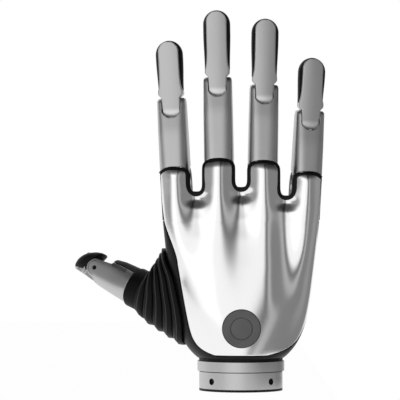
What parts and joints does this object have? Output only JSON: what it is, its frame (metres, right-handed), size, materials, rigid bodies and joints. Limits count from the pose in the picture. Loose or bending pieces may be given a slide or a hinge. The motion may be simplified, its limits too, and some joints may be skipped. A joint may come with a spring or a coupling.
{
  "type": "prosthetic hand",
  "caption": "Powered prosthetic right hand: hinged two-bone fingers, a turning and bending thumb under a ribbed bellows, a round push button and a turning wrist ring.",
  "frame": {"origin": "centre of the wrist ring's open face, the end that meets the forearm socket", "axes": "+Z runs from the wrist to the fingertips, -Y is the back of the hand, -X is the thumb side"},
  "size_m": [0.1267, 0.0595, 0.1904],
  "materials": {
    "satin_aluminium": "bead-blasted, satin",
    "polished_cover": "mirror polished",
    "black_shell": "matt black",
    "thumb_plastic": "matt black",
    "soft_pad": "soft matt black",
    "seal_rubber": "matt black",
    "bellows_rubber": "satin black",
    "button_plastic": "dark grey, satin",
    "steel": "ground",
    "brass": "machined",
    "motor_metal": "drawn can",
    "frame_metal": "machined",
    "board": "green solder mask",
    "contact": "moulded",
    "cord": "braided"
  },
  "bodies": {
    "wrist": {"wrist_ring": "satin_aluminium", "wrist_gasket": "seal_rubber", "swivel_retainer": "steel", "contact_plate": "contact"},
    "hand": {"wrist_flange": "satin_aluminium", "neck_seal": "seal_rubber", "palm_shell": "black_shell", "palm_frame": "frame_metal", "back_cover": "polished_cover", "palm_pad": "soft_pad", "knuckle_bridge": "black_shell", "knuckle_pins": "steel", "worm_wheels": "brass", "circuit_board": "board", "button_bezel": "button_plastic", "button_spring": "steel", "thumb_post": "steel"},
    "button": {"button_cap": "button_plastic"},
    "index": {"index_phalanx": "satin_aluminium", "index_motor": "motor_metal", "index_cords": "cord", "index_tip_pin": "steel"},
    "index_worm": {"index_worm": "steel"},
    "index_tip": {"index_tip": "satin_aluminium", "index_pad": "soft_pad"},
    "middle": {"middle_phalanx": "satin_aluminium", "middle_motor": "motor_metal", "middle_cords": "cord", "middle_tip_pin": "steel"},
    "middle_worm": {"middle_worm": "steel"},
    "middle_tip": {"middle_tip": "satin_aluminium", "middle_pad": "soft_pad"},
    "ring": {"ring_phalanx": "satin_aluminium", "ring_motor": "motor_metal", "ring_cords": "cord", "ring_tip_pin": "steel"},
    "ring_worm": {"ring_worm": "steel"},
    "ring_tip": {"ring_tip": "satin_aluminium", "ring_pad": "soft_pad"},
    "little": {"little_phalanx": "satin_aluminium", "little_motor": "motor_metal", "little_cords": "cord", "little_tip_pin": "steel"},
    "little_worm": {"little_worm": "steel"},
    "little_tip": {"little_tip": "satin_aluminium", "little_pad": "soft_pad"},
    "thumb_base": {"thumb_turret": "frame_metal", "thumb_wheel": "brass", "thumb_hinge_pin": "steel", "thumb_bellows": "bellows_rubber"},
    "thumb": {"thumb_frame": "thumb_plastic", "thumb_sleeve": "bellows_rubber", "thumb_shell": "satin_aluminium", "thumb_motor": "motor_metal", "thumb_cords": "cord", "thumb_tip_pin": "steel"},
    "thumb_worm": {"thumb_worm": "steel"},
    "thumb_tip": {"thumb_tip": "satin_aluminium", "thumb_pad": "soft_pad"}
  },
  "joints": [
    {"name": "wrist_turn", "type": "hinge", "parent": "wrist", "child": "hand", "pos_m": [0, 0, 0.0098], "axis": [0, 0, 1], "continuous": true},
    {"name": "button_press", "type": "slide", "parent": "hand", "child": "button", "axis": [0, 1, 0], "range_m": [0, 0.0008], "stiffness_N_per_m": 400, "springref_m": -0.0006, "deforming": ["button_spring"]},
    {"name": "index_flex", "type": "hinge", "parent": "hand", "child": "index", "pos_m": [-0.0324, 0.00025, 0.1037], "axis": [-0.9927, 0.108, -0.0538], "range_deg": [0, 90]},
    {"name": "index_worm_spin", "type": "hinge", "parent": "index", "child": "index_worm", "pos_m": [-0.03286, -0.00402, 0.10367], "axis": [-0.0541, 0, 0.9985], "range_deg": [0, 1260]},
    {"name": "index_tip_flex", "type": "hinge", "parent": "index", "child": "index_tip", "pos_m": [-0.03443, 0.00025, 0.14125], "axis": [-0.9927, 0.108, -0.0538], "range_deg": [0, 90]},
    {"name": "middle_flex", "type": "hinge", "parent": "hand", "child": "middle", "pos_m": [-0.0108, -0.00131, 0.108], "axis": [-0.9992, 0.036, -0.018], "range_deg": [0, 90]},
    {"name": "middle_worm_spin", "type": "hinge", "parent": "middle", "child": "middle_worm", "pos_m": [-0.01095, -0.0056, 0.108], "axis": [-0.018, 0, 0.9998], "range_deg": [0, 1260]},
    {"name": "middle_tip_flex", "type": "hinge", "parent": "middle", "child": "middle_tip", "pos_m": [-0.01159, -0.00131, 0.15179], "axis": [-0.9992, 0.036, -0.018], "range_deg": [0, 90]},
    {"name": "ring_flex", "type": "hinge", "parent": "hand", "child": "ring", "pos_m": [0.0108, -0.00131, 0.107], "axis": [-0.9992, -0.036, 0.018], "range_deg": [0, 90]},
    {"name": "ring_worm_spin", "type": "hinge", "parent": "ring", "child": "ring_worm", "pos_m": [0.01095, -0.0056, 0.107], "axis": [0.018, 0, 0.9998], "range_deg": [0, 1260]},
    {"name": "ring_tip_flex", "type": "hinge", "parent": "ring", "child": "ring_tip", "pos_m": [0.01154, -0.00131, 0.14799], "axis": [-0.9992, -0.036, 0.018], "range_deg": [0, 90]},
    {"name": "little_flex", "type": "hinge", "parent": "hand", "child": "little", "pos_m": [0.0324, 0.00025, 0.1014], "axis": [-0.9927, -0.108, 0.0538], "range_deg": [0, 90]},
    {"name": "little_worm_spin", "type": "hinge", "parent": "little", "child": "little_worm", "pos_m": [0.03286, -0.00402, 0.10137], "axis": [0.0541, 0, 0.9985], "range_deg": [0, 1260]},
    {"name": "little_tip_flex", "type": "hinge", "parent": "little", "child": "little_tip", "pos_m": [0.03423, 0.00025, 0.13515], "axis": [-0.9927, -0.108, 0.0538], "range_deg": [0, 90]},
    {"name": "thumb_rotate", "type": "hinge", "parent": "hand", "child": "thumb_base", "pos_m": [-0.023, 0.0035, 0.045], "axis": [0, 0, 1], "range_deg": [-70, 8], "deforming": ["thumb_bellows"]},
    {"name": "thumb_flex", "type": "hinge", "parent": "thumb_base", "child": "thumb", "pos_m": [-0.0416, 0.011, 0.0455], "axis": [0.4114, 0.8909, -0.1924], "range_deg": [0, 40], "deforming": ["thumb_bellows"]},
    {"name": "thumb_worm_spin", "type": "hinge", "parent": "thumb", "child": "thumb_worm", "pos_m": [-0.04343, 0.011, 0.04161], "axis": [-0.8061, 0.4542, 0.3795], "range_deg": [0, 560]},
    {"name": "thumb_tip_flex", "type": "hinge", "parent": "thumb", "child": "thumb_tip", "pos_m": [-0.07126, 0.02771, 0.05946], "axis": [0.4114, 0.8909, -0.1924], "range_deg": [0, 50]}
  ],
  "couplings": [
    {"joint": "index_worm_spin", "follows": "index_flex", "ratio": 14},
    {"joint": "index_tip_flex", "follows": "index_flex", "ratio": 1},
    {"joint": "middle_worm_spin", "follows": "middle_flex", "ratio": 14},
    {"joint": "middle_tip_flex", "follows": "middle_flex", "ratio": 1},
    {"joint": "ring_worm_spin", "follows": "ring_flex", "ratio": 14},
    {"joint": "ring_tip_flex", "follows": "ring_flex", "ratio": 1},
    {"joint": "little_worm_spin", "follows": "little_flex", "ratio": 14},
    {"joint": "little_tip_flex", "follows": "little_flex", "ratio": 1},
    {"joint": "thumb_worm_spin", "follows": "thumb_flex", "ratio": 14},
    {"joint": "thumb_tip_flex", "follows": "thumb_flex", "ratio": 1.25}
  ]
}
